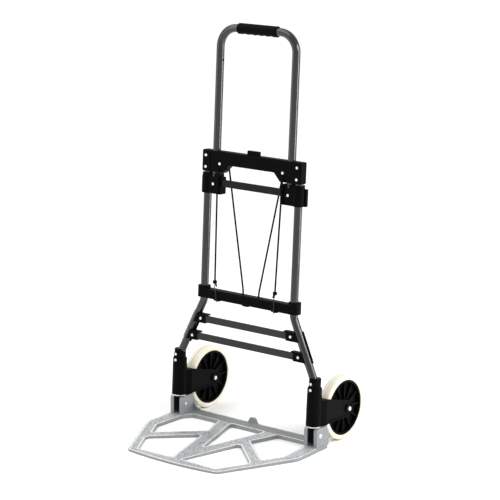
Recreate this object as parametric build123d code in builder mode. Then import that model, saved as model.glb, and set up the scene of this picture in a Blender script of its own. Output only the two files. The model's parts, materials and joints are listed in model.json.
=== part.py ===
"""Folding hand truck with a telescopic handle, a fold-up toe plate and wheels that swing in flat.

Millimetres, +Z up. The origin is on the floor, midway between the sides and midway from the toe
plate's front edge to the back of the tyres. -Y is the side that carries the load.

The tubular frame leans back by LEAN. Every piece of the frame, the handle and the wheel arms is
drawn standing upright on its own axes (X across, Y to the back, Z up along the frame) and is set
back by FRAME_PLACE as it is written. The toe plate lies flat and is drawn where it stands.
"""
from build123d import *
from math import cos, radians, sin
import os

# ---------------------------------------------------------------- driving dimensions
LEAN = 3.3                      # degrees that the frame leans back
LEG_FOOT_Y = 57.6               # where the plane of the tubes meets the floor

TUBE_R, TUBE_WALL = 12.7, 1.5   # 25.4 mm round tube, frame and handle
SNUG = 0.05                     # radial gap where a tube is gripped
SLIDE_FIT = 0.4                 # radial gap where a tube slides or a sleeve turns
SHAFT_FIT = 0.1                 # radial gap of an axle or pin in its hole

FRAME_X = 174.4                 # straight frame tubes
HANDLE_X = 143.7                # handle tubes, inboard of them and in the same plane
LEG_X = 264.5                   # legs, wheels and the toe plate's brackets
BEND_HIGH, BEND_LOW = 400.0, 208.0
BEND_R = 45.0
FRAME_TOP, LEG_END = 868.0, 180.0

GRIP_UP, GRIP_HALF, GRIP_R = 1255.0, 74.0, 16.8
HANDLE_BEND_R = 60.0
HANDLE_FOOT = 746.0

CROSS_TOP, CROSS_BOTTOM, CROSS_FOOT = 875.0, 833.5, 808.0
CROSS_END, CROSS_DEPTH, PAD = 190.0, 14.0, 1.4
LOCK_UP, LOCK_HOLE_R = 862.5, 4.3
STROKE = 292.0                  # travel of the handle
COLLAR_TOP, COLLAR_BOTTOM, COLLAR_IN = 794.0, 740.0, 115.0
COLLAR_R, COLLAR_DEPTH = 19.5, 14.0
SLIDER_BAR = (786.5, 764.5)
LOW_TOP, LOW_BOTTOM = 438.0, 409.0
LOW_FRONT, LOW_BACK, CLAMP_TOP = 16.0, 18.0, 446.5

TYRE_R, TYRE_HALF = 101.6, 18.0
RIM_R, RIM_HALF = 86.6, 16.3
AXLE_R, AXLE_BACK = 5.0, 141.5  # the axle is this far behind the leg
AXLE_UP = (TYRE_R + AXLE_BACK * sin(radians(LEAN))) / cos(radians(LEAN))
ARM_IN, ARM_OUT = 22.5, 29.5    # inner and outer faces of the fork's arms

SLEEVE_R, SHAFT_R = 23.0, 13.5
RING_BOTTOM, SLEEVE_BOTTOM, SLEEVE_TOP = 74.5, 77.6, 175.4
SOCKET_LOW, SOCKET_MID, SOCKET_TOP = 176.0, 197.0, 226.0

PLATE_FRONT, PLATE_BACK = -306.8, 110.2
PLATE_BACK_Z, PLATE_FRONT_Z = 12.0, 6.0
PLATE_SKIN, PLATE_RIM = 3.2, 4.5
EAR_FRONT, EAR_BACK, EAR_TOP = 49.0, 101.0, 72.0
EAR_HALF, SLOT_HALF, LUG_HALF = 24.5, 12.25, 10.5
HINGE_Y, HINGE_Z, HINGE_R = 66.0, 47.0, 5.0

CORD_R = 2.75
SIDES = {"left": -1, "right": 1}

FRAME_PLACE = Location((0, LEG_FOOT_Y, 0), (-LEAN, 0, 0))
ON_FLOOR = Location((0, 0, 0))
FRONTAL = Plane.XZ              # drawn from the front: across and up, its normal to the load side

os.makedirs("parts", exist_ok=True)


def save(piece, label, place=FRAME_PLACE):
    """Set a finished piece in its place, name it and write its STEP file."""
    placed = piece.moved(place)
    placed.label = label
    export_step(placed, f"parts/{label}.step")


def splay_x(up):
    """Centre of the splayed stretch of a frame tube at a height."""
    return FRAME_X + (BEND_HIGH - up) * (LEG_X - FRAME_X) / (BEND_HIGH - BEND_LOW)


def frame_tube_line(side):
    """Centre line of a frame tube, from its top down to the foot of the leg."""
    with BuildLine(FRONTAL) as line:
        FilletPolyline(
            (side * FRAME_X, FRAME_TOP),
            (side * FRAME_X, BEND_HIGH),
            (side * LEG_X, BEND_LOW),
            (side * LEG_X, LEG_END),
            radius=BEND_R,
        )
    return line.line


def rod_along(line, radius):
    """A solid round rod along a line: a cord, a wire, or the way that one needs."""
    with BuildPart() as rod:
        with BuildSketch(Plane(origin=line @ 0, z_dir=line % 0)):
            Circle(radius)
        sweep(path=line)
    return rod.part


# ---------------------------------------------------------------- fasteners of the frame
RIVET_HEAD_R, RIVET_SHANK_R = 4.6, 2.4
CROSS_RIVET_PLACES = ((FRAME_X, 858), (FRAME_X, 822), (120.6, 836))
CROSS_RIVETS = [(side * x, up) for side in (-1, 1) for x, up in CROSS_RIVET_PLACES]
COLLAR_RIVETS = [(side * HANDLE_X, 771) for side in (-1, 1)]
SOCKET_RIVETS = [(side * LEG_X, up) for side in (-1, 1) for up in (210, 191)]
BAR_RIVETS = [(side * x, up) for side in (-1, 1) for x, up in ((175.2, 340), (206.9, 281))]
LOW_SCREWS = [(side * FRAME_X, 428) for side in (-1, 1)]


def drills(points, radius=RIVET_SHANK_R):
    """The rods that cut round holes from front to back at some points."""
    with BuildPart() as bits:
        with BuildSketch(FRONTAL):
            with Locations(*points):
                Circle(radius)
        extrude(amount=60, both=True)
    return bits.part


def on_side(points, side):
    """The points that lie on one side of the middle."""
    return [point for point in points if point[0] * side > 0]


def rivets(points, front, back):
    """A group of domed rivets, each from its front head through to its flat back head."""
    with BuildPart() as group:
        with BuildSketch(FRONTAL.offset(front)):
            with Locations(*points):
                Circle(RIVET_HEAD_R)
        extrude(amount=2.0)
        fillet(group.faces().group_by(Axis.Y)[0].edges(), 1.5)
        with BuildSketch(FRONTAL.offset(front)):
            with Locations(*points):
                Circle(RIVET_SHANK_R)
        extrude(amount=-(front + back))
        with BuildSketch(FRONTAL.offset(-back)):
            with Locations(*points):
                Circle(RIVET_HEAD_R - 0.8)
        extrude(amount=-1.2)
    return group.part


# ---------------------------------------------------------------- frame tubes
def frame_tube(side):
    """One bent tube, drilled where it is riveted and screwed."""
    line = frame_tube_line(side)
    holes = drills([point for point in on_side(CROSS_RIVETS + LOW_SCREWS, side) if abs(point[0]) == FRAME_X])
    with BuildPart() as tube:
        with BuildSketch(Plane(origin=line @ 0, z_dir=line % 0)):
            Circle(TUBE_R)
            Circle(TUBE_R - TUBE_WALL, mode=Mode.SUBTRACT)
        sweep(path=line)
        add(holes, mode=Mode.SUBTRACT)
    return tube.part


for name, side in SIDES.items():
    save(frame_tube(side), f"frame_tube_{name}")

# ---------------------------------------------------------------- elastic cords
CORD_HOLE_X, CORD_BACK, CORD_FRONT, CORD_FOOT = 30.0, 11.0, -18.6, 430.0
KNOT_X, KNOT_FRONT, KNOT_UP = 116.7, -22.4, 467.0
KNOT_R, KNOT_FLAT, STOP_R, TAIL_R, TAIL_LENGTH = 7.0, 5.0, 4.2, 2.45, 15.0
HOOK_WIRE_R = 1.3


def cord_line(side):
    """One cord, pulled tight: up behind, through the upper crosspiece, down in front to its knot."""
    route = (
        (side * CORD_HOLE_X, CORD_BACK, CORD_FOOT),
        (side * (CORD_HOLE_X + 1), CORD_BACK, 452),
        (side * 105.0, CORD_BACK + 0.5, 834),
        (side * 110.0, 3.0, 838),
        (side * 124.5, CORD_FRONT, 820),
        (side * KNOT_X, KNOT_FRONT, KNOT_UP + KNOT_FLAT),
    )
    with BuildLine() as line:
        FilletPolyline(*route, radius=(60, 5, 12, 20))
    return line.line


def cord_knot(side):
    """The knot that ends a cord in front, with its short tail."""
    with BuildPart() as knot:
        with Locations((side * KNOT_X, KNOT_FRONT, KNOT_UP)):
            Sphere(KNOT_R)
        split(bisect_by=Plane.XY.offset(KNOT_UP + KNOT_FLAT), keep=Keep.BOTTOM)
        split(bisect_by=Plane.XY.offset(KNOT_UP - KNOT_FLAT), keep=Keep.TOP)
        tail = Plane(origin=(side * (KNOT_X - 3), KNOT_FRONT, KNOT_UP), z_dir=(-side * 0.25, 0, -1))
        with BuildSketch(tail):
            Circle(TAIL_R)
        extrude(amount=TAIL_LENGTH)
    return knot.part


def cord_stop(side):
    """The knot that keeps a cord's lower end inside the lower crosspiece."""
    with BuildPart() as stop:
        with Locations((side * CORD_HOLE_X, CORD_BACK, CORD_FOOT - 3)):
            Sphere(STOP_R)
        split(bisect_by=Plane.XY.offset(CORD_FOOT), keep=Keep.BOTTOM)
    return stop.part


def cord_hook(side):
    """A bent wire hook from the knot, down the front of the lower crosspiece and under its peg."""
    foot = LOW_BOTTOM - 4.7
    with BuildLine() as line:
        FilletPolyline(
            (side * KNOT_X, KNOT_FRONT, KNOT_UP - KNOT_FLAT),
            (side * KNOT_X, KNOT_FRONT - 1, 457),
            (side * 115, CORD_FRONT - 8, 446),
            (side * 113, CORD_FRONT - 2, 433),
            (side * 112, CORD_FRONT - 1.6, foot),
            (side * 112, CORD_FRONT + 9, foot),
            radius=(6, 7, 8, 3),
        )
    return rod_along(line.line, HOOK_WIRE_R)


cord_lines = {name: cord_line(side) for name, side in SIDES.items()}
cord_ways = [rod_along(line, CORD_R + 0.5) for line in cord_lines.values()]
for name, side in SIDES.items():
    save(rod_along(cord_lines[name], CORD_R), f"elastic_cord_{name}")
    save(cord_knot(side), f"cord_knot_{name}")
    save(cord_stop(side), f"cord_stop_{name}")
    save(cord_hook(side), f"cord_hook_{name}")

# ---------------------------------------------------------------- upper crosspiece and its latch
LATCH_HALF, LATCH_LOW, LATCH_HIGH, LATCH_DEPTH = 118.0, 849.0, 869.0, 7.5
BUTTON_HALF, BUTTON_DEPTH, BUTTON_TOP = 21.5, 6.0, 888.0
BUTTON_FOOT = LATCH_HIGH - 5.0
PIN_R, PIN_IN = 3.9, 96.0
PIN_OUT = HANDLE_X - TUBE_R - 0.45


def crosspiece_shell(facing):
    """Half of the upper crosspiece: facing is 1 for the front shell and -1 for the back one."""
    rivet_holes = drills(CROSS_RIVETS)
    with BuildPart() as shell:
        with BuildSketch(FRONTAL) as outline:
            with BuildLine():
                Polyline(
                    (0, CROSS_TOP),
                    (CROSS_END, CROSS_TOP),
                    (CROSS_END, CROSS_FOOT),
                    (110, CROSS_FOOT),
                    (86, CROSS_BOTTOM),
                    (0, CROSS_BOTTOM),
                    close=True,
                )
            make_face()
            mirror(about=Plane.YZ)
            fillet(outline.vertices().group_by(Axis.X)[0] + outline.vertices().group_by(Axis.X)[-1], 4)
        extrude(amount=facing * CROSS_DEPTH)
        outer = shell.faces().sort_by(Axis.Y)[0 if facing > 0 else -1]
        fillet(outer.edges(), 3)
        # raised pads over the frame tubes, which the rivets clamp
        with BuildSketch(FRONTAL.offset(facing * CROSS_DEPTH)):
            with Locations(*[(side * 172.5, (CROSS_TOP + CROSS_FOOT) / 2) for side in (-1, 1)]):
                RectangleRounded(28, CROSS_TOP - CROSS_FOOT - 8, 5)
        extrude(amount=facing * PAD)
        for side in (-1, 1):
            with BuildSketch(Plane.XY.offset(CROSS_FOOT)):
                with Locations((side * FRAME_X, 0)):
                    Circle(TUBE_R + SNUG)
            extrude(amount=FRAME_TOP - CROSS_FOOT, mode=Mode.SUBTRACT)
            with BuildSketch(Plane.XY.offset(CROSS_FOOT)):
                with Locations((side * HANDLE_X, 0)):
                    Circle(TUBE_R + SLIDE_FIT)
            extrude(amount=CROSS_TOP - CROSS_FOOT, mode=Mode.SUBTRACT)
        # the latch's room, the bores of its pins and the button's opening
        latch_middle = (LATCH_LOW + LATCH_HIGH) / 2
        with BuildSketch(FRONTAL):
            with Locations((0, latch_middle)):
                Rectangle(2 * LATCH_HALF, LATCH_HIGH - LATCH_LOW)
        extrude(amount=facing * LATCH_DEPTH, mode=Mode.SUBTRACT)
        with BuildSketch(Plane.YZ):
            with Locations((0, LOCK_UP)):
                Circle(PIN_R + SHAFT_FIT)
        extrude(amount=HANDLE_X, both=True, mode=Mode.SUBTRACT)
        with BuildSketch(Plane.XY.offset(LATCH_HIGH)):
            Rectangle(2 * (BUTTON_HALF + 0.4), 2 * (BUTTON_DEPTH + 0.4))
        extrude(amount=20, mode=Mode.SUBTRACT)
        for way in cord_ways:
            add(way, mode=Mode.SUBTRACT)
        add(rivet_holes, mode=Mode.SUBTRACT)
    return shell.part


def release_button():
    """The push button: a wide flange inside and a ribbed key that stands out of the top."""
    with BuildPart() as button:
        with BuildSketch(Plane.XY.offset(BUTTON_FOOT)):
            Rectangle(2 * BUTTON_HALF + 8, 2 * BUTTON_DEPTH)
        extrude(amount=4.5)
        with BuildSketch(Plane.XY.offset(BUTTON_FOOT)):
            Rectangle(2 * BUTTON_HALF, 2 * BUTTON_DEPTH)
        extrude(amount=BUTTON_TOP - BUTTON_FOOT)
        fillet(button.edges().group_by(Axis.Z)[-1], 2)
    return button.part


SPRING_R, SPRING_WIRE, SPRING_TURNS = 4.6, 0.9, 4


def button_spring():
    """The coil spring between the floor of the latch's room and the button."""
    low = LATCH_LOW + SPRING_WIRE / 2 + 0.05
    height = BUTTON_FOOT - LATCH_LOW - SPRING_WIRE - 0.1
    with BuildPart() as spring:
        with BuildLine(Plane.XY.offset(low)) as line:
            Helix(pitch=height / SPRING_TURNS, height=height, radius=SPRING_R)
        with BuildSketch(Plane(origin=line.line @ 0, z_dir=line.line % 0)):
            Circle(SPRING_WIRE / 2)
        sweep(path=line.line, is_frenet=True)
    return spring.part


def lock_pin(side):
    """A lock pin with its collar, pointing outwards at a handle tube."""
    with BuildPart() as pin:
        with BuildSketch(Plane(origin=(side * PIN_IN, 0, LOCK_UP), z_dir=(side, 0, 0))):
            Circle(PIN_R)
        extrude(amount=PIN_OUT - PIN_IN)
        chamfer(pin.edges().group_by(Axis.X)[0 if side < 0 else -1], 0.8)
        with BuildSketch(Plane(origin=(side * PIN_IN, 0, LOCK_UP), z_dir=(side, 0, 0))):
            Circle(PIN_R + 2)
        extrude(amount=3)
    return pin.part


save(crosspiece_shell(1), "upper_crosspiece_front")
save(crosspiece_shell(-1), "upper_crosspiece_back")
outer_rivets = [point for point in CROSS_RIVETS if abs(point[0]) == FRAME_X]
inner_rivets = [point for point in CROSS_RIVETS if abs(point[0]) != FRAME_X]
save(rivets(outer_rivets, CROSS_DEPTH + PAD, CROSS_DEPTH + PAD), "crosspiece_rivets")
save(rivets(inner_rivets, CROSS_DEPTH, CROSS_DEPTH), "crosspiece_inner_rivets")
save(release_button(), "release_button")
save(button_spring(), "button_spring")
for name, side in SIDES.items():
    save(lock_pin(side), f"lock_pin_{name}")


# ---------------------------------------------------------------- lower crosspiece
PEG_X = 112.0
POCKETS, POCKET_STEP, POCKET_WIDTH = 4, 66.0, 60.0


def lower_crosspiece():
    """The beam that clamps both frame tubes, open below between ribs, with three pegs underneath."""
    depth = LOW_FRONT + LOW_BACK
    middle = (LOW_BACK - LOW_FRONT) / 2
    with BuildPart() as beam:
        with BuildSketch(Plane.XY.offset(LOW_BOTTOM)):
            with Locations((0, middle)):
                Rectangle(2 * FRAME_X, depth)
        extrude(amount=LOW_TOP - LOW_BOTTOM)
        fillet(beam.edges().filter_by(Axis.X).group_by(Axis.Z)[-1], 5)
        with BuildSketch(Plane.XY.offset(LOW_BOTTOM)):
            with Locations(*[(side * (FRAME_X + 1.6), middle) for side in (-1, 1)]):
                RectangleRounded(36, depth, 12)
        extrude(amount=CLAMP_TOP - LOW_BOTTOM)
        fillet(beam.faces().sort_by(Axis.Z)[-1].edges(), 2)
        fillet(beam.faces().sort_by(Axis.Z)[-2].edges(), 2)
        with BuildSketch(FRONTAL.offset(-LOW_BACK + 3)):
            with Locations(*[(x, LOW_BOTTOM) for x in (-PEG_X, 0, PEG_X)]):
                SlotOverall(26, 6.4)
        extrude(amount=depth - 3)
        with BuildSketch(Plane.XY.offset(LOW_BOTTOM - 4)):
            with Locations((0, middle + 1)):
                with GridLocations(POCKET_STEP, 0, POCKETS, 1):
                    Rectangle(POCKET_WIDTH, depth - 7)
        extrude(amount=LOW_TOP - LOW_BOTTOM - 1, mode=Mode.SUBTRACT)
        for side in (-1, 1):
            with BuildSketch(Plane.XY.offset(LOW_BOTTOM - 10)):
                with Locations((side * FRAME_X, 0)):
                    Circle(TUBE_R + SNUG)
            extrude(amount=60, mode=Mode.SUBTRACT)
        for way in cord_ways:
            add(way, mode=Mode.SUBTRACT)
        with BuildSketch(FRONTAL):
            with Locations(*LOW_SCREWS):
                Circle(RIVET_SHANK_R)
        extrude(amount=-30, mode=Mode.SUBTRACT)
    return beam.part


def low_screws():
    """Screws that hold the lower crosspiece to the frame tubes, driven from behind."""
    with BuildPart() as screws:
        with BuildSketch(FRONTAL.offset(-LOW_BACK)):
            with Locations(*LOW_SCREWS):
                Circle(RIVET_HEAD_R)
        extrude(amount=-2.4)
        fillet(screws.faces().group_by(Axis.Y)[-1].edges(), 1)
        with BuildSketch(FRONTAL.offset(-LOW_BACK - 2.4)):
            with Locations(*LOW_SCREWS):
                RegularPolygon(2.2, 6)
        extrude(amount=1.6, mode=Mode.SUBTRACT)
        with BuildSketch(FRONTAL.offset(-LOW_BACK)):
            with Locations(*LOW_SCREWS):
                Circle(RIVET_SHANK_R)
        extrude(amount=LOW_BACK - 8)
    return screws.part


save(lower_crosspiece(), "lower_crosspiece")
save(low_screws(), "lower_crosspiece_screws")

# ---------------------------------------------------------------- crossbars and their brackets
BAR_HEIGHT, BAR_FRONT, BAR_BACK, BAR_WALL = 22.0, 12.5, 4.5, 1.4
BARS = {"upper": (340.0, 182.0, 157.0), "lower": (281.0, 211.0, 187.5)}  # height, half length, mouth
SHELL_WALL, LUG_BACK = 3.6, 3.0


def crossbar(up, half):
    """A flat tube bar across the splayed frame, with a rivet hole at each end."""
    holes = drills([point for point in BAR_RIVETS if point[1] == up])
    with BuildPart() as bar:
        with BuildSketch(Plane.YZ):
            with Locations((-(BAR_FRONT + BAR_BACK) / 2, up)):
                RectangleRounded(BAR_FRONT - BAR_BACK, BAR_HEIGHT, 2.2)
                Rectangle(BAR_FRONT - BAR_BACK - 2 * BAR_WALL, BAR_HEIGHT - 2 * BAR_WALL, mode=Mode.SUBTRACT)
        extrude(amount=half, both=True)
        add(holes, mode=Mode.SUBTRACT)
    return bar.part


def bar_bracket(side):
    """The moulding that hugs the back of a splayed tube and holds the ends of both bars."""
    low, high = 262.0, 354.0
    axis_low = Vector(side * splay_x(low), 0, low)
    axis_high = Vector(side * splay_x(high), 0, high)
    along = (axis_high - axis_low).normalized()
    across = Plane(origin=axis_low, x_dir=(0, 1, 0), z_dir=along)
    holes = drills(on_side(BAR_RIVETS, side))
    with BuildPart() as bracket:
        with BuildSketch(across):
            Circle(TUBE_R + SHELL_WALL)
            with Locations((-TUBE_R - 1.0, 0)):
                Rectangle(2 * TUBE_R, 60, mode=Mode.SUBTRACT)
        extrude(amount=(axis_high - axis_low).length)
        for up, half, mouth in BARS.values():
            with BuildSketch(FRONTAL.offset(-LUG_BACK)):
                with BuildLine():
                    Polyline(
                        (side * mouth, up - 14),
                        (side * (splay_x(up - 14) - 4), up - 14),
                        (side * (splay_x(up + 16) - 4), up + 16),
                        (side * (mouth - 8), up + 16),
                        (side * (mouth - 8), up + 11.4),
                        (side * mouth, up + 11.4),
                        close=True,
                    )
                make_face()
            extrude(amount=LUG_BACK + BAR_FRONT + 1.6)
        for up, half, mouth in BARS.values():
            with BuildSketch(FRONTAL.offset(BAR_BACK)):
                with Locations((0, up)):
                    Rectangle(2 * half, BAR_HEIGHT)
            extrude(amount=BAR_FRONT - BAR_BACK, mode=Mode.SUBTRACT)
        with BuildSketch(across.offset(-60)):
            Circle(TUBE_R + SNUG)
        extrude(amount=240, mode=Mode.SUBTRACT)
        add(holes, mode=Mode.SUBTRACT)
    return bracket.part


for name, (up, half, mouth) in BARS.items():
    save(crossbar(up, half), f"crossbar_{name}")
for name, side in SIDES.items():
    save(bar_bracket(side), f"bar_bracket_{name}")
save(rivets(BAR_RIVETS, BAR_FRONT + 1.6, LUG_BACK), "crossbar_rivets")

# ---------------------------------------------------------------- legs: sockets, pivot posts, rings
HINGE_BACK = (HINGE_Y - LEG_FOOT_Y) * cos(radians(LEAN)) - HINGE_Z * sin(radians(LEAN))
HINGE_UP = (HINGE_Y - LEG_FOOT_Y) * sin(radians(LEAN)) + HINGE_Z * cos(radians(LEAN))
SOCKET_R, SOCKET_FOOT_R = 18.5, 22.5
LUG_FRONT, LUG_BACK_R, LUG_DROP = 14.5, 15.0, 27.0


def leg_socket(side):
    """The moulding that joins a frame tube to its leg and caps the wheel's sleeve."""
    tube_way = rod_along(frame_tube_line(side), TUBE_R + SNUG)
    with BuildPart() as socket:
        with BuildSketch(Plane.XY.offset(SOCKET_LOW)):
            with Locations((side * LEG_X, 0)):
                Circle(SOCKET_FOOT_R)
        extrude(amount=SOCKET_MID - SOCKET_LOW)
        fillet(socket.edges().group_by(Axis.Z)[-1], 2.5)
        with BuildSketch(Plane.XY.offset(SOCKET_MID - 4)):
            with Locations((side * LEG_X, 0)):
                Circle(SOCKET_R)
        extrude(amount=SOCKET_TOP - SOCKET_MID + 4)
        fillet(socket.edges().group_by(Axis.Z)[-1], 1.5)
        # a flat pad in front for the two rivets
        with BuildSketch(FRONTAL.offset(10)):
            with Locations((side * LEG_X, 200)):
                RectangleRounded(15, 34, 5)
        extrude(amount=12.6)
        with BuildSketch(Plane.XY.offset(SOCKET_LOW - 1)):
            with Locations((side * LEG_X, 0)):
                Circle(TUBE_R + SNUG)
        extrude(amount=23, mode=Mode.SUBTRACT)
        add(tube_way, mode=Mode.SUBTRACT)
        with BuildSketch(FRONTAL):
            with Locations(*on_side(SOCKET_RIVETS, side)):
                Circle(RIVET_SHANK_R)
        extrude(amount=40, mode=Mode.SUBTRACT)
    return socket.part


def socket_rivets():
    """Short blind rivets in front of the two sockets."""
    with BuildPart() as group:
        with BuildSketch(FRONTAL.offset(22.6)):
            with Locations(*SOCKET_RIVETS):
                Circle(RIVET_HEAD_R)
        extrude(amount=1.8)
        fillet(group.faces().group_by(Axis.Y)[0].edges(), 1.4)
        with BuildSketch(FRONTAL.offset(22.6)):
            with Locations(*SOCKET_RIVETS):
                Circle(RIVET_SHANK_R)
        extrude(amount=-8)
    return group.part


def leg_post(side):
    """The moulded pivot post: a spigot in the tube, the sleeve's shaft, and the hinge lug below."""
    with BuildPart() as post:
        with BuildSketch(Plane.XY.offset(RING_BOTTOM)):
            with Locations((side * LEG_X, 0)):
                Circle(SHAFT_R)
        extrude(amount=SOCKET_LOW - RING_BOTTOM - 0.2)
        with BuildSketch(Plane.XY.offset(SOCKET_LOW - 1)):
            with Locations((side * LEG_X, 0)):
                Circle(TUBE_R - TUBE_WALL - SNUG)
        extrude(amount=12)
        with BuildSketch(Plane.YZ.offset(side * LEG_X - LUG_HALF)):
            with BuildLine():
                Polyline(
                    (HINGE_BACK - LUG_FRONT, RING_BOTTOM),
                    (HINGE_BACK - LUG_FRONT, HINGE_UP - LUG_DROP),
                    (HINGE_BACK + LUG_BACK_R, HINGE_UP - LUG_DROP),
                    (HINGE_BACK + LUG_BACK_R, RING_BOTTOM),
                    close=True,
                )
            make_face()
        extrude(amount=2 * LUG_HALF)
        fillet(post.edges().filter_by(Axis.X).group_by(Axis.Z)[0], 9)
        # two shallow grooves down the front of the lug
        with BuildSketch(FRONTAL.offset(-(HINGE_BACK - LUG_FRONT))):
            with Locations((side * LEG_X, HINGE_UP + 2)):
                with GridLocations(8, 0, 2, 1):
                    RectangleRounded(4, 34, 1.5)
        extrude(amount=-1.5, mode=Mode.SUBTRACT)
        with BuildSketch(Plane.YZ.offset(side * LEG_X)):
            with Locations((HINGE_BACK, HINGE_UP)):
                Circle(HINGE_R + SHAFT_FIT)
        extrude(amount=30, both=True, mode=Mode.SUBTRACT)
    return post.part


def support_ring(side):
    """The bright steel ring that carries the sleeve."""
    with BuildPart() as ring:
        with BuildSketch(Plane.XY.offset(RING_BOTTOM)):
            with Locations((side * LEG_X, 0)):
                Circle(SLEEVE_R)
                Circle(SHAFT_R + SNUG, mode=Mode.SUBTRACT)
        extrude(amount=SLEEVE_BOTTOM - RING_BOTTOM - 0.35)
        chamfer(ring.edges().group_by(Axis.Z)[-1], 0.5)
    return ring.part


for name, side in SIDES.items():
    save(leg_socket(side), f"leg_socket_{name}")
    save(leg_post(side), f"leg_post_{name}")
    save(support_ring(side), f"support_ring_{name}")
save(socket_rivets(), "leg_socket_rivets")

# ---------------------------------------------------------------- sliding handle
HOLE_HEIGHTS = (LOCK_UP, LOCK_UP + STROKE)
FINGER_STEP, FINGERS, FINGER_R, FINGER_DEPTH = 24.6, 5, 15.5, 3.2
BAR_IN_COLLAR = 126.0
SLIDER_FRONT, SLIDER_BACK = 8.0, 3.0


def handle_tube():
    """The handle's U tube with its two pairs of lock holes."""
    rivet_holes = drills(COLLAR_RIVETS)
    with BuildPart() as tube:
        with BuildLine(FRONTAL) as line:
            FilletPolyline(
                (-HANDLE_X, HANDLE_FOOT),
                (-HANDLE_X, GRIP_UP),
                (HANDLE_X, GRIP_UP),
                (HANDLE_X, HANDLE_FOOT),
                radius=HANDLE_BEND_R,
            )
        with BuildSketch(Plane(origin=line.line @ 0, z_dir=line.line % 0)):
            Circle(TUBE_R)
            Circle(TUBE_R - TUBE_WALL, mode=Mode.SUBTRACT)
        sweep(path=line.line)
        with BuildSketch(Plane.YZ):
            with Locations(*[(0, up) for up in HOLE_HEIGHTS]):
                Circle(LOCK_HOLE_R)
        extrude(amount=HANDLE_X, both=True, mode=Mode.SUBTRACT)
        add(rivet_holes, mode=Mode.SUBTRACT)
    return tube.part


def handle_grip():
    """The moulded grip, with a shallow hollow underneath for each finger."""
    with BuildPart() as grip:
        with BuildSketch(Plane.YZ):
            with Locations((0, GRIP_UP)):
                Circle(GRIP_R)
                Circle(TUBE_R + SNUG, mode=Mode.SUBTRACT)
        extrude(amount=GRIP_HALF, both=True)
        fillet(grip.faces().sort_by(Axis.X)[0].edges().sort_by(SortBy.LENGTH)[-1], 2.2)
        fillet(grip.faces().sort_by(Axis.X)[-1].edges().sort_by(SortBy.LENGTH)[-1], 2.2)
        with BuildSketch(FRONTAL):
            with Locations((0, GRIP_UP - GRIP_R - FINGER_R + FINGER_DEPTH)):
                with GridLocations(FINGER_STEP, 0, FINGERS, 1):
                    Circle(FINGER_R)
        extrude(amount=40, both=True, mode=Mode.SUBTRACT)
    return grip.part


def slider_collar(side):
    """A collar on the foot of a handle tube, which slides on the frame tube beside it."""
    rivet_holes = drills(on_side(COLLAR_RIVETS, side))
    with BuildPart() as collar:
        with BuildSketch(Plane.XY.offset(COLLAR_BOTTOM)):
            with Locations((side * (COLLAR_IN + FRAME_X) / 2, 0)):
                Rectangle(FRAME_X - COLLAR_IN, 2 * COLLAR_DEPTH)
            with Locations((side * FRAME_X, 0)):
                Circle(COLLAR_R)
            with Locations((side * (FRAME_X + 12), 8)):
                Rectangle(26, 10)
        extrude(amount=COLLAR_TOP - COLLAR_BOTTOM)
        fillet(collar.edges().group_by(Axis.Z)[0], 3)
        fillet(collar.edges().group_by(Axis.Z)[-1], 1.5)
        # the neck that stops against the crosspiece
        with BuildSketch(Plane.XY.offset(COLLAR_TOP - 2)):
            with Locations((side * (122 + FRAME_X) / 2, 0)):
                Rectangle(FRAME_X - 122, 2 * COLLAR_DEPTH - 3)
            with Locations((side * FRAME_X, 0)):
                Circle(COLLAR_R - 1.5)
        extrude(amount=12)
        with BuildSketch(Plane.XY.offset(COLLAR_BOTTOM - 5)):
            with Locations((side * FRAME_X, 0)):
                Circle(TUBE_R + SLIDE_FIT)
        extrude(amount=90, mode=Mode.SUBTRACT)
        with BuildSketch(Plane.XY.offset(HANDLE_FOOT)):
            with Locations((side * HANDLE_X, 0)):
                Circle(TUBE_R + SNUG)
        extrude(amount=90, mode=Mode.SUBTRACT)
        with BuildSketch(FRONTAL.offset(-SLIDER_BACK)):
            with Locations((side * (BAR_IN_COLLAR - 10), sum(SLIDER_BAR) / 2)):
                Rectangle(20, SLIDER_BAR[0] - SLIDER_BAR[1])
        extrude(amount=SLIDER_FRONT + SLIDER_BACK, mode=Mode.SUBTRACT)
        add(rivet_holes, mode=Mode.SUBTRACT)
    return collar.part


def slider_bar():
    """The flat tube bar that ties the two collars together."""
    deep, high = SLIDER_FRONT + SLIDER_BACK, SLIDER_BAR[0] - SLIDER_BAR[1]
    with BuildPart() as bar:
        with BuildSketch(Plane.YZ):
            with Locations(((SLIDER_BACK - SLIDER_FRONT) / 2, sum(SLIDER_BAR) / 2)):
                RectangleRounded(deep, high, 2)
                Rectangle(deep - 2 * BAR_WALL, high - 2 * BAR_WALL, mode=Mode.SUBTRACT)
        extrude(amount=BAR_IN_COLLAR, both=True)
    return bar.part


save(handle_tube(), "handle_tube")
save(handle_grip(), "handle_grip")
save(slider_bar(), "slider_bar")
save(rivets(COLLAR_RIVETS, COLLAR_DEPTH, COLLAR_DEPTH), "slider_rivets")
for name, side in SIDES.items():
    save(slider_collar(side), f"slider_collar_{name}")

# ---------------------------------------------------------------- wheel forks and wheels
ARM_TIP_R, ARM_TOP, ARM_FOOT = 25.0, 163.0, 78.0
FORK_BACK = 35.0
BOSS_R, BOSS_OUT = 13.0, 31.5
HEAD_R, HEAD_OUT = 7.0, 37.5


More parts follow.
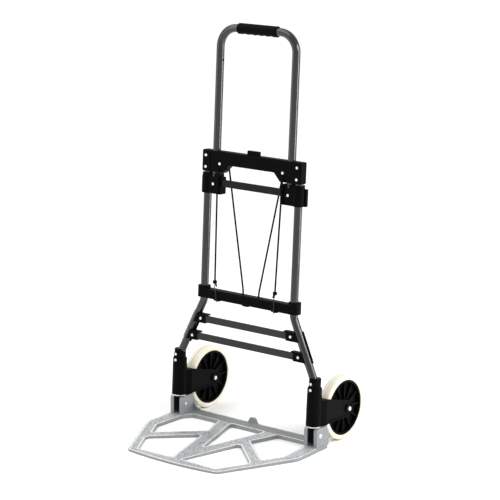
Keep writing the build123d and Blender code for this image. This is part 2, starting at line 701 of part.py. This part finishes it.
def arm_outline(inset=0.0):
    """Side view of a fork's arm: tall at the sleeve, rounded about the axle."""
    top_in = ARM_TOP - inset
    foot_in = ARM_FOOT + inset
    tip = ARM_TIP_R - inset
    with BuildSketch(Plane.YZ) as outline:
        with BuildLine():
            Polyline(
                (8 + inset, foot_in),
                (8 + inset, top_in),
                (AXLE_BACK + 0.24 * tip, AXLE_UP + 0.97 * tip),
                (AXLE_BACK, AXLE_UP),
                (AXLE_BACK - 0.1 * tip, AXLE_UP - 0.99 * tip),
                close=True,
            )
        make_face()
        with Locations((AXLE_BACK, AXLE_UP)):
            Circle(tip)
    return outline.sketch_local


def wheel_fork(side):
    """The sleeve that turns on the leg, with the two arms that hold the wheel."""
    arm = arm_outline()
    arm_recess = arm_outline(5)
    with BuildPart() as fork:
        with BuildSketch(Plane.XY.offset(SLEEVE_BOTTOM)):
            Circle(SLEEVE_R)
        extrude(amount=SLEEVE_TOP - SLEEVE_BOTTOM)
        chamfer(fork.edges().group_by(Axis.Z)[-1], 1)
        # shoulders that widen from the sleeve to the arms
        with BuildSketch(Plane.XY.offset(ARM_FOOT)):
            with BuildLine():
                Polyline(
                    (-21.5, 4),
                    (-ARM_OUT, 27),
                    (-ARM_OUT, FORK_BACK),
                    (ARM_OUT, FORK_BACK),
                    (ARM_OUT, 27),
                    (21.5, 4),
                    close=True,
                )
            make_face()
        extrude(amount=ARM_TOP - ARM_FOOT - 5)
        fillet(fork.edges().filter_by(Axis.Z).group_by(Axis.Y)[-1], 2)
        for outward in (-1, 1):
            with BuildSketch(Plane.YZ.offset(outward * ARM_IN)):
                add(arm)
                with Locations((5, 120)):
                    Rectangle(44, 120, mode=Mode.SUBTRACT)
            extrude(amount=outward * (ARM_OUT - ARM_IN))
            with BuildSketch(Plane.YZ.offset(outward * ARM_OUT)):
                add(arm_recess)
                with Locations((15, 120)):
                    Rectangle(44, 120, mode=Mode.SUBTRACT)
            extrude(amount=-outward * 2, mode=Mode.SUBTRACT)
            with BuildSketch(Plane.YZ.offset(outward * (ARM_OUT - 3))):
                with Locations((AXLE_BACK, AXLE_UP)):
                    Circle(BOSS_R)
            extrude(amount=outward * (BOSS_OUT - ARM_OUT + 3))
        with BuildSketch(Plane.YZ):
            with Locations((AXLE_BACK, AXLE_UP)):
                Circle(AXLE_R + SNUG)
        extrude(amount=60, both=True, mode=Mode.SUBTRACT)
        with BuildSketch(Plane.XY.offset(SLEEVE_BOTTOM - 5)):
            Circle(SHAFT_R + SLIDE_FIT)
        extrude(amount=140, mode=Mode.SUBTRACT)
    return fork.part


def axle_bolt(side):
    """The axle: a bolt through both arms, its round head outboard."""
    with BuildPart() as bolt:
        with BuildSketch(Plane.YZ):
            with Locations((AXLE_BACK, AXLE_UP)):
                Circle(AXLE_R)
        extrude(amount=HEAD_OUT - 1, both=True)
        with BuildSketch(Plane.YZ.offset(side * BOSS_OUT)):
            with Locations((AXLE_BACK, AXLE_UP)):
                Circle(HEAD_R)
        extrude(amount=side * (HEAD_OUT - BOSS_OUT))
        fillet(bolt.faces().sort_by(Axis.X)[0 if side < 0 else -1].edges(), 2)
    return bolt.part


def axle_nut(side):
    """The cap nut on the inboard end of the axle."""
    with BuildPart() as nut:
        with BuildSketch(Plane.YZ.offset(-side * BOSS_OUT)):
            with Locations((AXLE_BACK, AXLE_UP)):
                RegularPolygon(HEAD_R, 6)
                Circle(AXLE_R, mode=Mode.SUBTRACT)
        extrude(amount=-side * 4.5)
    return nut.part


HUB_R, HUB_HALF, BUSH_R, BUSH_HALF = 19.0, 19.5, 8.5, 22.0
WEB_HALF, RIB_HALF, RIBS, RIM_WALL = 2.5, 1.6, 12, 6.0
GROOVE_HALF, GROOVE_DEPTH = 2.2, 1.8


def wheel_plane():
    """The plane across the wheel, on its axle: across the row, its normal is the axle."""
    return Plane(origin=(0, AXLE_BACK, AXLE_UP), x_dir=(0, 1, 0), z_dir=(1, 0, 0))


def wheel_hub():
    """The moulded wheel: rim, thin web, radial ribs on both faces and a long hub."""
    with BuildPart() as hub:
        with BuildSketch(wheel_plane()):
            Circle(RIM_R)
            Circle(RIM_R - RIM_WALL, mode=Mode.SUBTRACT)
        extrude(amount=RIM_HALF, both=True)
        with BuildSketch(wheel_plane()):
            Circle(RIM_R - 1)
        extrude(amount=WEB_HALF, both=True)
        with BuildSketch(wheel_plane()):
            Circle(HUB_R)
        extrude(amount=HUB_HALF, both=True)
        with BuildSketch(wheel_plane()):
            with PolarLocations((RIM_R - RIM_WALL + HUB_R) / 2, RIBS):
                Rectangle(RIM_R - RIM_WALL - HUB_R + 4, 2 * RIB_HALF)
        extrude(amount=RIM_HALF - 3, both=True)
        with BuildSketch(wheel_plane()):
            Circle(BUSH_R)
        extrude(amount=60, both=True, mode=Mode.SUBTRACT)
    return hub.part


def wheel_bush():
    """The plain bearing pressed in the hub, which turns on the axle."""
    with BuildPart() as bush:
        with BuildSketch(wheel_plane()):
            Circle(BUSH_R)
            Circle(AXLE_R + SHAFT_FIT, mode=Mode.SUBTRACT)
        extrude(amount=BUSH_HALF, both=True)
    return bush.part


def tyre():
    """The solid tyre: rounded shoulders and one groove round the middle of the tread."""
    with BuildPart() as ring:
        with BuildSketch(Plane.XY.offset(AXLE_UP)) as section:
            with Locations((0, AXLE_BACK + (TYRE_R + RIM_R) / 2)):
                Rectangle(2 * TYRE_HALF, TYRE_R - RIM_R)
            fillet(section.vertices().group_by(Axis.Y)[-1], 7)
            chamfer(section.vertices().group_by(Axis.Y)[0], 1.6)
            with Locations((0, AXLE_BACK + TYRE_R)):
                Rectangle(2 * GROOVE_HALF, 2 * GROOVE_DEPTH, mode=Mode.SUBTRACT)
        revolve(axis=Axis((0, AXLE_BACK, AXLE_UP), (1, 0, 0)))
    return ring.part


for name, side in SIDES.items():
    at_leg = FRAME_PLACE * Location((side * LEG_X, 0, 0))
    save(wheel_fork(side), f"wheel_fork_{name}", at_leg)
    save(axle_bolt(side), f"axle_{name}", at_leg)
    save(axle_nut(side), f"axle_nut_{name}", at_leg)
    save(wheel_hub(), f"wheel_hub_{name}", at_leg)
    save(wheel_bush(), f"wheel_bush_{name}", at_leg)
    save(tyre(), f"tyre_{name}", at_leg)

# ---------------------------------------------------------------- toe plate
SIDE_X, SHOULDER_Y, CORNER_X, CORNER_Y = 295.0, -55.0, 173.0, -293.0
FLANGE_TOP, FLANGE_WALL, BAND_FRONT = 20.0, 6.0, 78.0
TAB_TOP, GUSSET_RUN, GUSSET_TOP = 38.0, 42.0, 62.0
EAR_IN, EAR_OUT = LEG_X - EAR_HALF, LEG_X + EAR_HALF


def plate_outline():
    """Plan of the toe plate: straight at the back, tapering to a shallow bowed front edge."""
    with BuildSketch() as outline:
        with BuildLine():
            Polyline(
                (-CORNER_X, CORNER_Y),
                (-SIDE_X, SHOULDER_Y),
                (-EAR_OUT, PLATE_BACK),
                (EAR_OUT, PLATE_BACK),
                (SIDE_X, SHOULDER_Y),
                (CORNER_X, CORNER_Y),
            )
            ThreePointArc((CORNER_X, CORNER_Y), (0, PLATE_FRONT), (-CORNER_X, CORNER_Y))
        make_face()
        fillet(outline.vertices().group_by(Axis.Y)[0], 14)
        fillet(outline.vertices().filter_by_position(Axis.Y, SHOULDER_Y - 1, SHOULDER_Y + 1), 60)
        fillet(outline.vertices().group_by(Axis.Y)[-1], 12)
    return outline.sketch


def plate_holes():
    """Plan of the five openings: a triangle at the back, and two each side of the V of ribs."""
    with BuildSketch() as holes:
        with BuildLine():
            Polyline((-62, 79), (62, 79), (61, 58), (0, -146), (-61, 58), close=True)
        make_face()
        for side in (-1, 1):
            with BuildLine():
                Polyline(
                    (side * 118, 80),
                    (side * 220, 80),
                    (side * 243, 48),
                    (side * 248, -66),
                    (side * 214, -130),
                    (side * 84, -15),
                    close=True,
                )
            make_face()
            with BuildLine():
                Polyline(
                    (side * 72, -66),
                    (side * 84, -64),
                    (side * 196, -166),
                    (side * 199, -180),
                    (side * 149, -270),
                    (side * 18, -266),
                    close=True,
                )
            make_face()
        fillet(holes.vertices(), 4)
    return holes.sketch


def above_plate(drop):
    """The space above the sloping top of the plate, lowered by drop."""
    with BuildPart() as space:
        with BuildSketch(Plane.YZ):
            with BuildLine():
                Polyline(
                    (PLATE_FRONT - 20, PLATE_FRONT_Z - drop),
                    (PLATE_FRONT, PLATE_FRONT_Z - drop),
                    (BAND_FRONT, PLATE_BACK_Z - drop),
                    (PLATE_BACK + 20, PLATE_BACK_Z - drop),
                    (PLATE_BACK + 20, 60),
                    (PLATE_FRONT - 20, 60),
                    close=True,
                )
            make_face()
        extrude(amount=400, both=True)
    return space.part


def underside(outline, holes, space):
    """The hollow under the plate's skin, inside a rim round its edge and round each opening."""
    with BuildSketch() as rims:
        add(holes)
        offset(amount=PLATE_RIM)
    with BuildPart() as hollow:
        with BuildSketch(Plane.XY.offset(-1)):
            add(outline)
            offset(amount=-PLATE_RIM)
            add(rims.sketch, mode=Mode.SUBTRACT)
            with Locations(*[(side * LEG_X, (EAR_FRONT + EAR_BACK) / 2) for side in (-1, 1)]):
                Rectangle(2 * EAR_HALF + 12, EAR_BACK - EAR_FRONT + 40, mode=Mode.SUBTRACT)
            with Locations((0, PLATE_FRONT + 22)):
                Rectangle(60, 24, mode=Mode.SUBTRACT)
        extrude(amount=40)
        add(space, mode=Mode.SUBTRACT)
    return hollow.part


def toe_plate():
    """The cast toe plate with its rear flange, fold tab and the two brackets it hinges on."""
    outline = plate_outline()
    holes = plate_holes()
    space = above_plate(0)
    hollow = underside(outline, holes, above_plate(PLATE_SKIN))
    with BuildPart() as plate:
        with BuildSketch():
            add(outline)
            add(holes, mode=Mode.SUBTRACT)
        extrude(amount=PLATE_BACK_Z)
        add(space, mode=Mode.SUBTRACT)
        # the band that rises to the rear flange
        with BuildSketch(Plane.YZ):
            with BuildLine():
                Polyline(
                    (84, PLATE_BACK_Z - 1),
                    (84, PLATE_BACK_Z),
                    (PLATE_BACK - FLANGE_WALL, FLANGE_TOP),
                    (PLATE_BACK, FLANGE_TOP),
                    (PLATE_BACK, PLATE_BACK_Z - 1),
                    close=True,
                )
            make_face()
        extrude(amount=EAR_IN + 1, both=True)
        # gussets that sweep up from the flange to the brackets, and the tab in the middle
        for side in (-1, 1):
            with BuildSketch(FRONTAL.offset(-PLATE_BACK)):
                with BuildLine():
                    low = (side * (EAR_IN - GUSSET_RUN), FLANGE_TOP - 0.5)
                    high = (side * (EAR_IN + 2), GUSSET_TOP)
                    bow = (side * (EAR_IN - 9), FLANGE_TOP + 12)
                    ThreePointArc(low, bow, high)
                    Polyline(high, (side * (EAR_IN + 2), PLATE_BACK_Z), (low[0], PLATE_BACK_Z), low)
                make_face()
            extrude(amount=FLANGE_WALL)
        with BuildSketch(FRONTAL.offset(-PLATE_BACK)) as tab:
            with BuildLine():
                Polyline(
                    (-20, FLANGE_TOP - 2),
                    (-10, TAB_TOP),
                    (10, TAB_TOP),
                    (20, FLANGE_TOP - 2),
                    close=True,
                )
            make_face()
            fillet(tab.vertices().group_by(Axis.Y)[-1], 8)
        extrude(amount=FLANGE_WALL)
        # the brackets: two ears each side, with a slot between them for the leg's lug
        for side in (-1, 1):
            with BuildSketch(Plane.YZ.offset(side * LEG_X)) as ear:
                with BuildLine():
                    Polyline(
                        (EAR_FRONT, PLATE_BACK_Z - 2),
                        (EAR_FRONT, EAR_TOP),
                        (EAR_BACK, EAR_TOP),
                        (PLATE_BACK, 40),
                        (PLATE_BACK, PLATE_BACK_Z - 2),
                        close=True,
                    )
                make_face()
                fillet(ear.vertices().group_by(Axis.X)[0].sort_by(Axis.Y)[-1], 10)
                fillet(ear.vertices().filter_by_position(Axis.X, EAR_BACK - 1, EAR_BACK + 1), 8)
            extrude(amount=EAR_HALF, both=True)
            with BuildSketch(Plane.XY.offset(PLATE_BACK_Z)):
                with Locations((side * LEG_X, (EAR_FRONT + EAR_BACK) / 2)):
                    Rectangle(2 * SLOT_HALF, 120)
            extrude(amount=80, mode=Mode.SUBTRACT)
        with BuildSketch(Plane.YZ):
            with Locations((HINGE_Y, HINGE_Z)):
                Circle(HINGE_R + SNUG)
        extrude(amount=EAR_OUT + 5, both=True, mode=Mode.SUBTRACT)
        add(hollow, mode=Mode.SUBTRACT)
    return plate.part


def hinge_pin(side):
    """The pin that a bracket turns on, with a flat head outboard."""
    with BuildPart() as pin:
        with BuildSketch(Plane(origin=(side * (EAR_IN - 1), HINGE_Y, HINGE_Z), z_dir=(side, 0, 0))):
            Circle(HINGE_R)
        extrude(amount=2 * EAR_HALF + 1)
        with BuildSketch(Plane(origin=(side * EAR_OUT, HINGE_Y, HINGE_Z), z_dir=(side, 0, 0))):
            Circle(HINGE_R + 2.5)
        extrude(amount=2.2)
        fillet(pin.faces().sort_by(Axis.X)[0 if side < 0 else -1].edges(), 1)
    return pin.part


save(toe_plate(), "toe_plate", ON_FLOOR)
for name, side in SIDES.items():
    save(hinge_pin(side), f"hinge_pin_{name}", ON_FLOOR)
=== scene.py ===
"""Folding hand truck: its finishes, the light on it and the camera. Metres, +Z up."""
import json
from math import radians, sin, tan, tau

import bmesh
import bpy
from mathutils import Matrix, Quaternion, Vector


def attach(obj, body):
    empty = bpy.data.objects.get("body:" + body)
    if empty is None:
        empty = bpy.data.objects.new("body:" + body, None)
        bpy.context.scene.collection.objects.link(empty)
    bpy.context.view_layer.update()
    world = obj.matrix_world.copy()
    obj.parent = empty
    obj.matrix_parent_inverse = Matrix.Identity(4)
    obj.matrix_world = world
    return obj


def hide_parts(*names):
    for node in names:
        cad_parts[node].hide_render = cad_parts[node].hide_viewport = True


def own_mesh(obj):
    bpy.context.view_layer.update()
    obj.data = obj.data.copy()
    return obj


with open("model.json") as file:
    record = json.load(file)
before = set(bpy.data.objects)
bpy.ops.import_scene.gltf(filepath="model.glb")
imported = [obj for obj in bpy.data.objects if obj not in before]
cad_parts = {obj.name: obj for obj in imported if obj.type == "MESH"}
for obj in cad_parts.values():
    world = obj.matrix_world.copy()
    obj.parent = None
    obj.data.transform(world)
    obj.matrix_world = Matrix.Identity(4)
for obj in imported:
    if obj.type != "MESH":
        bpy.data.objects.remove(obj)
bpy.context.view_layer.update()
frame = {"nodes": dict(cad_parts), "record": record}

MM = 0.001
nodes = frame["nodes"]

# ---------------------------------------------------------------- camera
CAMERA_AT = Vector((3.6281, -4.6119, 1.9784))
CAMERA_AIM = Vector((0.0006, 0.0882, 0.5815))
CAMERA_ROLL = 0.13
LENS_MM, SENSOR_MM = 143.1, 36
NEAREST, FARTHEST = 0.1, 200

camera = bpy.data.objects.new("camera", bpy.data.cameras.new("camera"))
bpy.context.scene.collection.objects.link(camera)
camera.data.lens, camera.data.sensor_width = LENS_MM, SENSOR_MM
camera.data.clip_start, camera.data.clip_end = NEAREST, FARTHEST
camera.location = CAMERA_AT
camera.rotation_mode = "QUATERNION"
looking = (CAMERA_AIM - CAMERA_AT).to_track_quat("-Z", "Y")
camera.rotation_quaternion = looking @ Quaternion((0, 0, 1), radians(CAMERA_ROLL))
bpy.context.scene.camera = camera


# ---------------------------------------------------------------- materials
MIX_FIRST, MIX_SECOND, MIX_RESULT = 6, 7, 2     # the colour sockets of a Mix node
DRIFT_DETAIL, DRIFT_ROUGH, GRAIN_DETAIL = 4.0, 0.6, 2.0
DRIFT_LOW, DRIFT_HIGH = 0.3, 0.7                # the share of the drift that changes the roughness
PEBBLE_MM, PEBBLE_DEEP_MM = 5.0, 0.7
STRAND_MM, STRAND_DEEP_MM, STRAND_TURN = 1.6, 0.35, 40
SCUFF_MM, SCUFF_DEEP_MM = 25, 0.06


def linear(hex_colour):
    """An sRGB hex colour as linear red, green, blue and alpha."""
    parts = [int(hex_colour[i:i + 2], 16) / 255 for i in (1, 3, 5)]
    return [c / 12.92 if c <= 0.04045 else ((c + 0.055) / 1.055) ** 2.4
            for c in parts] + [1.0]


def node(tree, kind, inputs, **settings):
    """Adds a node, with its settings, its values and its links from other sockets."""
    made = tree.nodes.new(kind)
    for name, value in settings.items():
        setattr(made, name, value)
    for name, value in inputs.items():
        if isinstance(value, bpy.types.NodeSocket):
            tree.links.new(value, made.inputs[name])
        else:
            made.inputs[name].default_value = value
    return made


def finish(name, colours, metallic, rough, drift_mm, grain_mm, grain_deep_mm, pattern=None,
           **shader):
    """A finish: two tones that drift into each other, a roughness that drifts, and a fine grain."""
    material = bpy.data.materials.new(name)
    material.use_nodes = True
    tree = material.node_tree
    tree.nodes.clear()
    place = node(tree, "ShaderNodeTexCoord", {})
    drift = node(tree, "ShaderNodeTexNoise", {
        "Vector": place.outputs["Object"], "Scale": 1 / (drift_mm * MM),
        "Detail": DRIFT_DETAIL, "Roughness": DRIFT_ROUGH})
    grain = node(tree, "ShaderNodeTexNoise", {
        "Vector": place.outputs["Object"], "Scale": 1 / (grain_mm * MM), "Detail": GRAIN_DETAIL})
    tone = node(tree, "ShaderNodeMix", {
        0: drift.outputs["Fac"], MIX_FIRST: linear(colours[0]), MIX_SECOND: linear(colours[1])},
        data_type="RGBA")
    roughness = node(tree, "ShaderNodeMapRange", {
        "Value": drift.outputs["Fac"], "From Min": DRIFT_LOW, "From Max": DRIFT_HIGH,
        "To Min": rough[0], "To Max": rough[1]})
    height, deep, colour = grain.outputs["Fac"], grain_deep_mm, tone.outputs[MIX_RESULT]
    if pattern:
        height, deep, colour = pattern(tree, place, height, colour)
    bump = node(tree, "ShaderNodeBump", {
        "Height": height, "Distance": deep * MM, "Strength": 1.0})
    skin = node(tree, "ShaderNodeBsdfPrincipled", {
        "Base Color": colour, "Metallic": metallic, "Roughness": roughness.outputs["Result"],
        "Normal": bump.outputs["Normal"], **shader})
    node(tree, "ShaderNodeOutputMaterial", {"Surface": skin.outputs["BSDF"]})
    return material


def pebbled(tree, place, grain, colour):
    """Cast pebbles on what faces up. Real ones are about 2 mm; these are coarse enough to show. Their
    colour carries painted shade between the pebbles and a painted highlight on their crowns, and every
    face that doesn't face up gets painted shade at 0.45 of its colour.
    """
    pebbles = node(tree, "ShaderNodeTexVoronoi", {
        "Vector": place.outputs["Object"], "Scale": 1 / (PEBBLE_MM * MM)}, feature="SMOOTH_F1")
    facing = node(tree, "ShaderNodeSeparateXYZ", {"Vector": place.outputs["Normal"]})
    top = node(tree, "ShaderNodeMapRange", {
        "Value": facing.outputs["Z"], "From Min": 0.93, "From Max": 0.985})
    crown = node(tree, "ShaderNodeMath", {
        0: 1.0, 1: pebbles.outputs["Distance"]}, operation="SUBTRACT")
    raised = node(tree, "ShaderNodeMath", {
        0: crown.outputs[0], 1: top.outputs["Result"]}, operation="MULTIPLY")
    # painted shade between the pebbles and on faces that don't face up, painted highlight on the pebble
    # crowns
    painted_pebble_light = node(tree, "ShaderNodeMapRange", {
        "Value": raised.outputs[0], "From Min": 0.3, "From Max": 0.8,
        "To Min": 0.45, "To Max": 1.08})
    shade = node(tree, "ShaderNodeVectorMath", {
        0: colour, "Scale": painted_pebble_light.outputs["Result"]}, operation="SCALE")
    return raised.outputs[0], PEBBLE_DEEP_MM, shade.outputs["Vector"]


def braided(tree, place, grain, colour):
    """Two crossing runs of strands, 1.6 mm apart, round an elastic core, with painted shade between the
    strands and a painted highlight along them.
    """
    runs = [node(tree, "ShaderNodeTexWave", {
        "Vector": node(tree, "ShaderNodeMapping", {
            "Vector": place.outputs["Object"], "Rotation": (0, radians(turn), 0)}).outputs["Vector"],
        "Scale": 1 / (STRAND_MM * MM) / tau}, bands_direction="X")
        for turn in (STRAND_TURN, -STRAND_TURN)]
    weave = node(tree, "ShaderNodeMath", {
        0: runs[0].outputs["Fac"], 1: runs[1].outputs["Fac"]}, operation="MAXIMUM")
    # painted shade in the grooves between strands, painted highlight on the strands
    lit = node(tree, "ShaderNodeMapRange", {
        "Value": weave.outputs[0], "To Min": 0.45, "To Max": 1.3})
    shade = node(tree, "ShaderNodeVectorMath", {
        0: colour, "Scale": lit.outputs["Result"]}, operation="SCALE")
    return weave.outputs[0], STRAND_DEEP_MM, shade.outputs["Vector"]


def scuffed(tree, place, grain, colour):
    """Faint smudges from the floor, some 25 mm across."""
    smudge = node(tree, "ShaderNodeTexNoise", {
        "Vector": place.outputs["Object"], "Scale": 1 / (SCUFF_MM * MM),
        "Detail": 6.0, "Roughness": 0.7})
    clean = node(tree, "ShaderNodeMapRange", {
        "Value": smudge.outputs["Fac"], "From Min": 0.35, "From Max": 0.6,
        "To Min": 0.9, "To Max": 1.0})
    shade = node(tree, "ShaderNodeVectorMath", {
        0: colour, "Scale": clean.outputs["Result"]}, operation="SCALE")
    return grain, SCUFF_DEEP_MM, shade.outputs["Vector"]


DULL = {"Specular IOR Level": 0.03}
SATIN = {"Specular IOR Level": 0.12}
# each: name, two tones, metallic, least and most roughness, size of the drift and of the
# grain and depth of the grain in millimetres, a pattern, and what the shader adds
FINISHES = {
    # metallic grey enamel on steel tube: long bright highlights, dark at the sides, a slight orange peel
    "tube_enamel": finish("metallic_grey_enamel", ("#1a1c1e", "#222427"),
                          0.8, (0.22, 0.28), 60, 3.0, 0.003,
                          **{"Coat Weight": 0.9, "Coat Roughness": 0.12}),
    # dark satin enamel on the flat bars
    "bar_enamel": finish("dark_satin_enamel", ("#2e2e2d", "#373736"),
                         0.3, (0.40, 0.50), 40, 1.2, 0.015, **SATIN),
    # glass filled nylon, moulded with a fine spark grain: deep black, dull highlights
    "black_nylon": finish("glass_filled_nylon", ("#040404", "#080809"),
                          0.0, (0.36, 0.48), 18, 0.7, 0.03, **DULL),
    # polypropylene wheel
    "hub_plastic": finish("moulded_polypropylene", ("#050505", "#09090a"),
                          0.0, (0.42, 0.52), 22, 0.9, 0.02,
                          **{"Specular IOR Level": 0.05}),
    # acetal bush, turned
    "bush_nylon": finish("turned_acetal", ("#cfcbc0", "#dad6cc"), 0.0, (0.38, 0.45), 10, 0.8, 0.01),
    # non-marking rubber, cream, dull, with faint scuffs
    "tyre_rubber": finish("cream_rubber", ("#d5cfbd", "#dfd9c9"),
                          0.0, (0.58, 0.72), 30, 0.8, 0.05, scuffed),
    # soft thermoplastic rubber of the grip: black, slightly satin
    "grip_rubber": finish("soft_grip_rubber", ("#040404", "#080808"),
                          0.0, (0.36, 0.48), 12, 0.6, 0.04, **DULL),
    # polyester braid over elastic, with painted shade between its strands and painted highlights along
    # them
    "cord_braid": finish("polyester_braid", ("#070708", "#101011"),
                         0.0, (0.62, 0.78), 8, 0.5, 0.05, braided, **DULL),
    # vinyl coated wire: black and glossy
    "hook_wire": finish("vinyl_coated_wire", ("#070708", "#0c0c0d"),
                        0.0, (0.22, 0.32), 10, 0.9, 0.01),
    # zinc plated steel: bright, with a slight cloudiness
    "bright_steel": finish("zinc_plated_steel", ("#d0d2d5", "#e2e4e6"),
                           1.0, (0.20, 0.36), 5, 0.5, 0.008),
    # die cast aluminium, silver painted: pebbled on top, with painted shade between the pebbles and on
    # faces that don't face up, and a painted highlight on the pebble crowns
    "cast_aluminium": finish("die_cast_aluminium", ("#b7babc", "#c5c8ca"),
                             0.35, (0.34, 0.44), 45, 0.8, 0.02, pebbled),
}
# the same casting where it is smooth, along its rims; its lighter colour is a painted highlight
highlit_smooth_casting = finish("smooth_cast_aluminium", ("#d6d8d9", "#e1e3e4"),
                        0.35, (0.24, 0.34), 30, 1.2, 0.01)
# the sliding bar is enamelled a shade darker than the fixed ones
slider_enamel = finish("black_satin_enamel", ("#1f1f20", "#272728"),
                       0.3, (0.40, 0.50), 40, 1.2, 0.015, **DULL)
for part in frame["record"]["subparts"]:
    mesh = nodes[part["node"]].data
    mesh.materials.clear()
    darker = part["node"] == "slider_bar"
    mesh.materials.append(slider_enamel if darker else FINISHES[part["material_slot"]])

# ---------------------------------------------------------------- the spring under the button
spring = nodes["button_spring"].copy()
spring.data = nodes["button_spring"].data.copy()
for mark in [key for key in spring.keys() if key.startswith("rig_")]:
    del spring[mark]
spring.name = "release_spring"
spring.parent = None
bpy.context.scene.collection.objects.link(spring)
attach(spring, "frame")
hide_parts("button_spring")
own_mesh(spring)

# ---------------------------------------------------------------- smooth rims of the toe plate
RIM_NEAR, RIM_WIDE, RIM_HIGH, RIM_SUNK = 0.5, 6.0, 0.45, 0.3
PLATE_FRONT, PLATE_BAND = -306.8, 78.0
FRONT_THICK, BACK_THICK = 6.0, 12.0
RIM_END = 44.0                   # where the outer rim runs up to the brackets
CORNER_STEPS = 6
RIM_SHARES = (0, 0.08, 0.25, 0.5, 0.75, 0.92, 1)  # where its rounded section has points
OPENING_R = 4


def top_of_plate(y):
    """Height of the plate's sloping top, which is level behind the band."""
    share = min(1.0, (y - PLATE_FRONT) / (PLATE_BAND - PLATE_FRONT))
    return FRONT_THICK + share * (BACK_THICK - FRONT_THICK)


def rounded(corners, radii, closed):
    """The corners joined by straight runs, each corner turned at its radius."""
    line = []
    count = len(corners)
    for i, radius in enumerate(radii):
        here = Vector(corners[i])
        if not closed and i in (0, count - 1):
            line.append(here)
            continue
        before = (Vector(corners[i - 1]) - here).normalized()
        after = (Vector(corners[(i + 1) % count]) - here).normalized()
        half = before.angle(after) / 2
        middle = here + (before + after).normalized() * radius / sin(half)
        reach = radius / tan(half)
        start, end = here + before * reach - middle, here + after * reach - middle
        for step in range(CORNER_STEPS + 1):
            share = step / CORNER_STEPS
            spoke = start.lerp(end, share)
            line.append(middle + spoke.normalized() * radius)
    return line


def rim(name, corners, radii, inward, closed=True):
    """A low rounded rim beside an edge of the plate; inward is 1 where the metal is left of the line."""
    line = rounded(corners, radii, closed)
    count = len(line)
    section = [(share, RIM_HIGH - (RIM_HIGH + RIM_SUNK) * (2 * share - 1) ** 4)
               for share in RIM_SHARES]
    points, faces = [], []
    for i, spot in enumerate(line):
        ahead = line[(i + 1) % count] if closed else line[min(i + 1, count - 1)]
        behind = line[i - 1] if closed else line[max(i - 1, 0)]
        along = (ahead - behind).normalized()
        across = Vector((-along.y, along.x)) * inward
        for share, high in section:
            at = spot + across * (RIM_NEAR + share * RIM_WIDE)
            points.append((at.x * MM, at.y * MM, (top_of_plate(at.y) + high) * MM))
    wide = len(section)
    for i in range(count if closed else count - 1):
        a, b = i * wide, (i + 1) % count * wide
        faces += [(a + k, b + k, b + k + 1, a + k + 1) for k in range(wide - 1)]
    mesh = bpy.data.meshes.new(name)
    mesh.from_pydata(points, [], faces)
    mesh.validate()
    body = bmesh.new()
    body.from_mesh(mesh)
    bmesh.ops.recalc_face_normals(body, faces=body.faces)
    if sum(face.normal.z for face in body.faces) < 0:
        bmesh.ops.reverse_faces(body, faces=body.faces)
    for face in body.faces:
        face.smooth = True
    body.to_mesh(mesh)
    body.free()
    # the rims take the lighter casting colour: a painted highlight
    mesh.materials.append(highlit_smooth_casting)
    piece = bpy.data.objects.new(name, mesh)
    bpy.context.scene.collection.objects.link(piece)
    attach(piece, "toe_plate")


# corners on the plate in millimetres; the side and front openings are the right-hand ones
OUTER = ((-291.4, RIM_END), (-295, -55), (-173, -293), (0, PLATE_FRONT),
         (173, -293), (295, -55), (291.4, RIM_END))
OUTER_R = (0, 60, 14, 900, 14, 60, 0)
BACK_OPENING = ((-62, 79), (-61, 58), (0, -146), (61, 58), (62, 79))
SIDE_OPENING = ((118, 80), (220, 80), (243, 48), (248, -66), (214, -130), (84, -15))
FRONT_OPENING = ((72, -66), (84, -64), (196, -166), (199, -180), (149, -270), (18, -266))

rim("plate_rim_outer", OUTER, OUTER_R, 1, closed=False)
rim("plate_rim_back_opening", BACK_OPENING, (OPENING_R,) * len(BACK_OPENING), -1)
for label, side in (("left", -1), ("right", 1)):
    for name, opening in (("side", SIDE_OPENING), ("front", FRONT_OPENING)):
        rim(f"plate_rim_{name}_opening_{label}", [(side * x, y) for x, y in opening],
            (OPENING_R,) * len(opening), side)

# ---------------------------------------------------------------- floor and light
FLOOR_HALF, FLOOR_DOWN = 40.0, 0.0004
ROOM_LIGHT = 0.8
floor_mesh = bpy.data.meshes.new("floor")
floor_corners = [(x * FLOOR_HALF, y * FLOOR_HALF, -FLOOR_DOWN)
                 for x, y in ((-1, -1), (1, -1), (1, 1), (-1, 1))]
floor_mesh.from_pydata(floor_corners, [], [(0, 1, 2, 3)])
floor = bpy.data.objects.new("floor", floor_mesh)
bpy.context.scene.collection.objects.link(floor)
# painted studio floor: matt and nearly white
floor_mesh.materials.append(finish("matt_white_paint", ("#f2f2f1", "#f6f6f5"),
                                   0.0, (0.85, 0.95), 900, 6, 0.02))

world = bpy.data.worlds.new("studio")
world.use_nodes = True
sky = world.node_tree.nodes["Background"]
sky.inputs["Color"].default_value = linear("#ffffff")
sky.inputs["Strength"].default_value = ROOM_LIGHT
bpy.context.scene.world = world
bpy.context.scene.view_settings.view_transform = "Standard"


def lamp(name, kind, spot, **settings):
    """A lamp at a spot, aimed at the middle of the truck."""
    light = bpy.data.lights.new(name, kind)
    for key, value in settings.items():
        setattr(light, key, value)
    holder = bpy.data.objects.new(name, light)
    bpy.context.scene.collection.objects.link(holder)
    holder.location = spot
    holder.rotation_mode = "QUATERNION"
    holder.rotation_quaternion = (Vector((0, 0, 0.5)) - Vector(spot)).to_track_quat("-Z", "Y")


lamp("sky", "SUN", (-2.6, -2.6, 5.6), energy=1.5, angle=radians(60))
lamp("key", "AREA", (3.2, -0.4, 2.4), size=0.9, energy=30)
# a tall strip to the right runs one long highlight down each tube; a fainter one lights the left
lamp("right_strip", "AREA", (1.9, 0.75, 1.15), shape="RECTANGLE", size=0.3, size_y=2.2, energy=40)
lamp("left_strip", "AREA", (-2.6, -2.6, 1.4), shape="RECTANGLE", size=0.3, size_y=2.2, energy=12)
